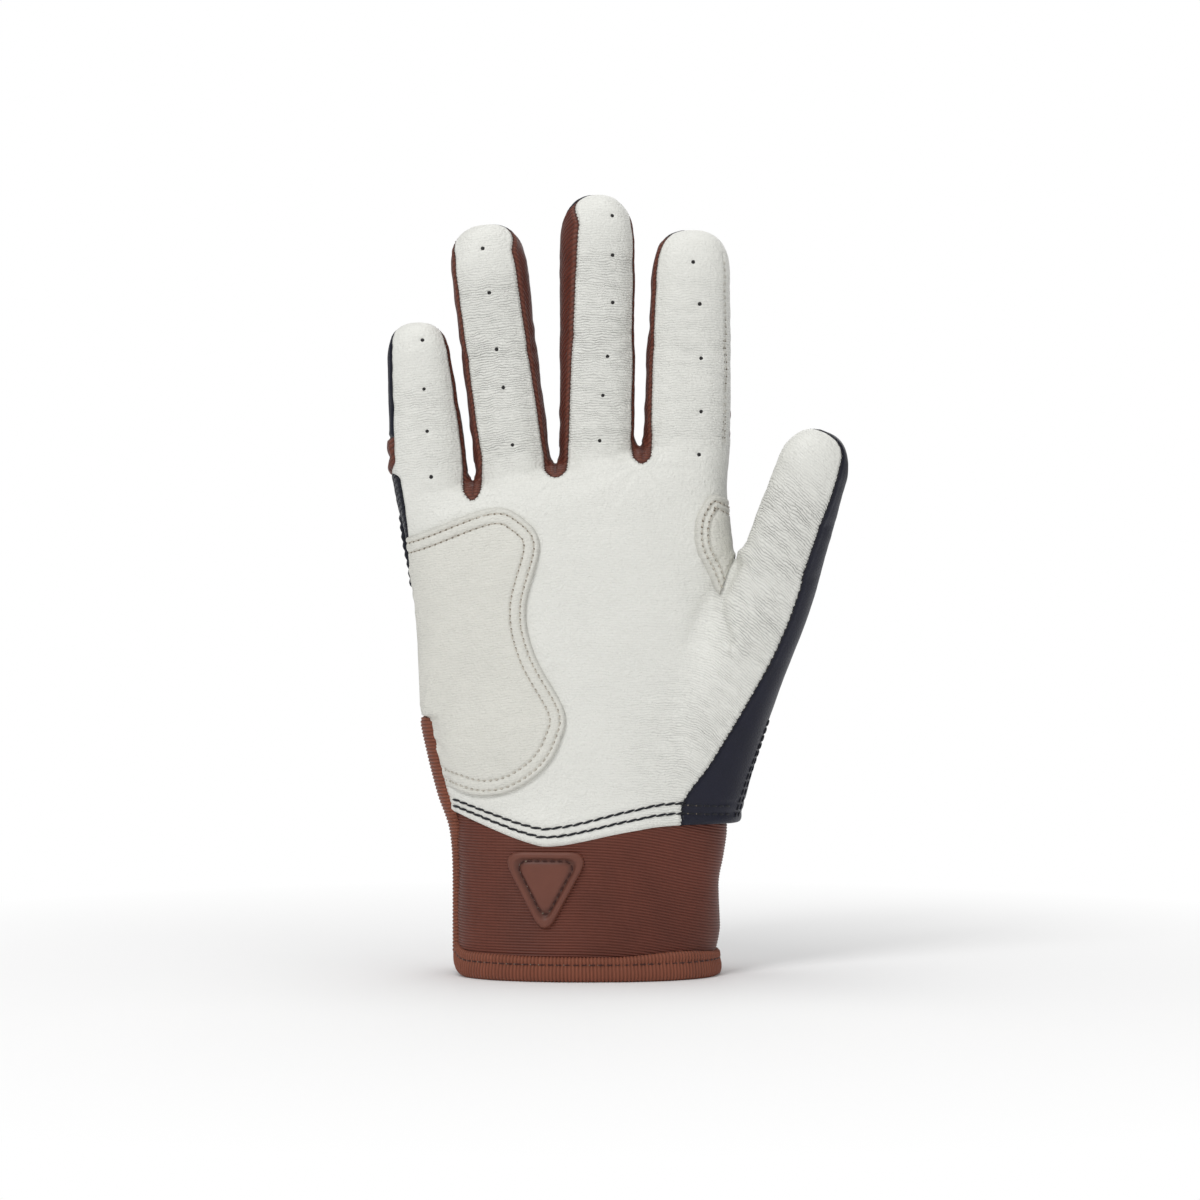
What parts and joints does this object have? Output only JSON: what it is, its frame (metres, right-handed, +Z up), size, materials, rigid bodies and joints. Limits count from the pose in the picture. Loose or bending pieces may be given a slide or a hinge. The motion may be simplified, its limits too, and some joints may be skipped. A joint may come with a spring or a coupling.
{
  "type": "batting glove",
  "caption": "Right-hand batting glove filled out as worn: leather palm and fingers, stretch sides, ribbed cuff with a wrist strap, and fingers that bend at their folds.",
  "frame": {"origin": "centre of the cuff's mouth, on the plane of the hem that the glove stands on", "axes": "+Z up from the cuff to the fingertips, the palm faces -Y, the thumb points to +X"},
  "size_m": [0.1274, 0.053, 0.217],
  "materials": {
    "white_leather": "soft grained sheepskin, matt",
    "navy_leather": "soft grained leather, slight sheen",
    "brown_stretch_fabric": "stretch knit, matt",
    "brown_ribbed_cuff_fabric": "fine ribbed twill over foam, matt",
    "brown_binding_tape": "grosgrain tape",
    "navy_knit": "ribbed knit, matt",
    "brown_rubber": "moulded, satin",
    "hook_and_loop": "hook and loop tape"
  },
  "bodies": {
    "hand": {"cuff_back_panel": "brown_ribbed_cuff_fabric", "cuff_badge": "brown_rubber", "cuff_hem_binding": "brown_binding_tape", "cuff_palm_panel": "brown_ribbed_cuff_fabric", "hand_back_panel": "navy_leather", "heel_pad": "white_leather", "loop_patch": "hook_and_loop", "middle_index_web": "brown_stretch_fabric", "palm_leather": "white_leather", "pinky_ring_web": "brown_stretch_fabric", "pinky_side_gusset": "navy_knit", "ring_middle_web": "brown_stretch_fabric", "slit_binding": "brown_binding_tape", "strap_anchor": "brown_ribbed_cuff_fabric", "thumb_crotch_patch": "white_leather", "thumb_side_gusset": "navy_leather"},
    "pinky_base": {"pinky_base_back": "navy_leather", "pinky_base_palm_face": "white_leather", "pinky_base_right_fourchette": "brown_stretch_fabric", "pinky_knuckle_ribs": "brown_stretch_fabric"},
    "pinky_tip": {"pinky_tip_back": "navy_leather", "pinky_tip_palm_face": "white_leather", "pinky_tip_right_fourchette": "brown_stretch_fabric"},
    "ring_base": {"ring_base_back": "navy_leather", "ring_base_left_fourchette": "brown_stretch_fabric", "ring_base_palm_face": "white_leather", "ring_base_right_fourchette": "brown_stretch_fabric", "ring_knuckle_ribs": "brown_stretch_fabric"},
    "ring_tip": {"ring_tip_back": "navy_leather", "ring_tip_left_fourchette": "brown_stretch_fabric", "ring_tip_palm_face": "white_leather", "ring_tip_right_fourchette": "brown_stretch_fabric"},
    "middle_base": {"middle_base_back": "navy_leather", "middle_base_left_fourchette": "brown_stretch_fabric", "middle_base_palm_face": "white_leather", "middle_base_right_fourchette": "brown_stretch_fabric", "middle_knuckle_ribs": "brown_stretch_fabric"},
    "middle_tip": {"middle_tip_back": "navy_leather", "middle_tip_left_fourchette": "brown_stretch_fabric", "middle_tip_palm_face": "white_leather", "middle_tip_right_fourchette": "brown_stretch_fabric"},
    "index_base": {"index_base_back": "navy_leather", "index_base_left_fourchette": "brown_stretch_fabric", "index_base_palm_face": "white_leather", "index_knuckle_ribs": "brown_stretch_fabric"},
    "index_tip": {"index_tip_back": "navy_leather", "index_tip_left_fourchette": "brown_stretch_fabric", "index_tip_palm_face": "white_leather"},
    "thumb_base": {"thumb_base_back": "navy_leather", "thumb_base_palm_face": "white_leather"},
    "thumb_tip": {"thumb_tip_back": "navy_leather", "thumb_tip_palm_face": "white_leather"},
    "strap": {"hook_patch": "hook_and_loop", "strap_pull_tab": "brown_rubber", "wrist_strap": "brown_ribbed_cuff_fabric"}
  },
  "joints": [
    {"name": "pinky_base_fold", "type": "hinge", "parent": "hand", "child": "pinky_base", "pos_m": [-0.04396, -0.00859, 0.13895], "axis": [0.9956, 0, 0.0941], "range_deg": [0, 85], "stiffness_Nm_per_rad": 0.03},
    {"name": "pinky_middle_fold", "type": "hinge", "parent": "pinky_base", "child": "pinky_tip", "pos_m": [-0.04579, -0.00896, 0.15833], "axis": [0.9956, 0, 0.0941], "range_deg": [0, 95], "stiffness_Nm_per_rad": 0.03},
    {"name": "ring_base_fold", "type": "hinge", "parent": "hand", "child": "ring_base", "pos_m": [-0.02104, -0.00939, 0.14351], "axis": [0.993, 0, 0.1184], "range_deg": [0, 85], "stiffness_Nm_per_rad": 0.03},
    {"name": "ring_middle_fold", "type": "hinge", "parent": "ring_base", "child": "ring_tip", "pos_m": [-0.02444, -0.01027, 0.17199], "axis": [0.993, 0, 0.1184], "range_deg": [0, 95], "stiffness_Nm_per_rad": 0.03},
    {"name": "middle_base_fold", "type": "hinge", "parent": "hand", "child": "middle_base", "pos_m": [0.0027, -0.00959, 0.1467], "axis": [1, 0, 0], "range_deg": [0, 85], "stiffness_Nm_per_rad": 0.03},
    {"name": "middle_middle_fold", "type": "hinge", "parent": "middle_base", "child": "middle_tip", "pos_m": [0.0027, -0.01058, 0.17744], "axis": [1, 0, 0], "range_deg": [0, 95], "stiffness_Nm_per_rad": 0.03},
    {"name": "index_base_fold", "type": "hinge", "parent": "hand", "child": "index_base", "pos_m": [0.02749, -0.00959, 0.1475], "axis": [0.9996, 0, -0.0279], "range_deg": [0, 85], "stiffness_Nm_per_rad": 0.03},
    {"name": "index_middle_fold", "type": "hinge", "parent": "index_base", "child": "index_tip", "pos_m": [0.02823, -0.01036, 0.17421], "axis": [0.9996, 0, -0.0279], "range_deg": [0, 95], "stiffness_Nm_per_rad": 0.03},
    {"name": "thumb_base_fold", "type": "hinge", "parent": "hand", "child": "thumb_base", "pos_m": [0.05241, -0.01957, 0.1097], "axis": [0.9563, 0, -0.2924], "range_deg": [0, 45], "stiffness_Nm_per_rad": 0.03},
    {"name": "thumb_middle_fold", "type": "hinge", "parent": "thumb_base", "child": "thumb_tip", "pos_m": [0.0573, -0.02341, 0.1257], "axis": [0.9563, 0, -0.2924], "range_deg": [0, 60], "stiffness_Nm_per_rad": 0.03},
    {"name": "wrist_strap_root", "type": "hinge", "parent": "hand", "child": "strap", "pos_m": [-0.0363, 0.012, 0.022], "axis": [0, 0, 1], "range_deg": [0, 140]}
  ]
}
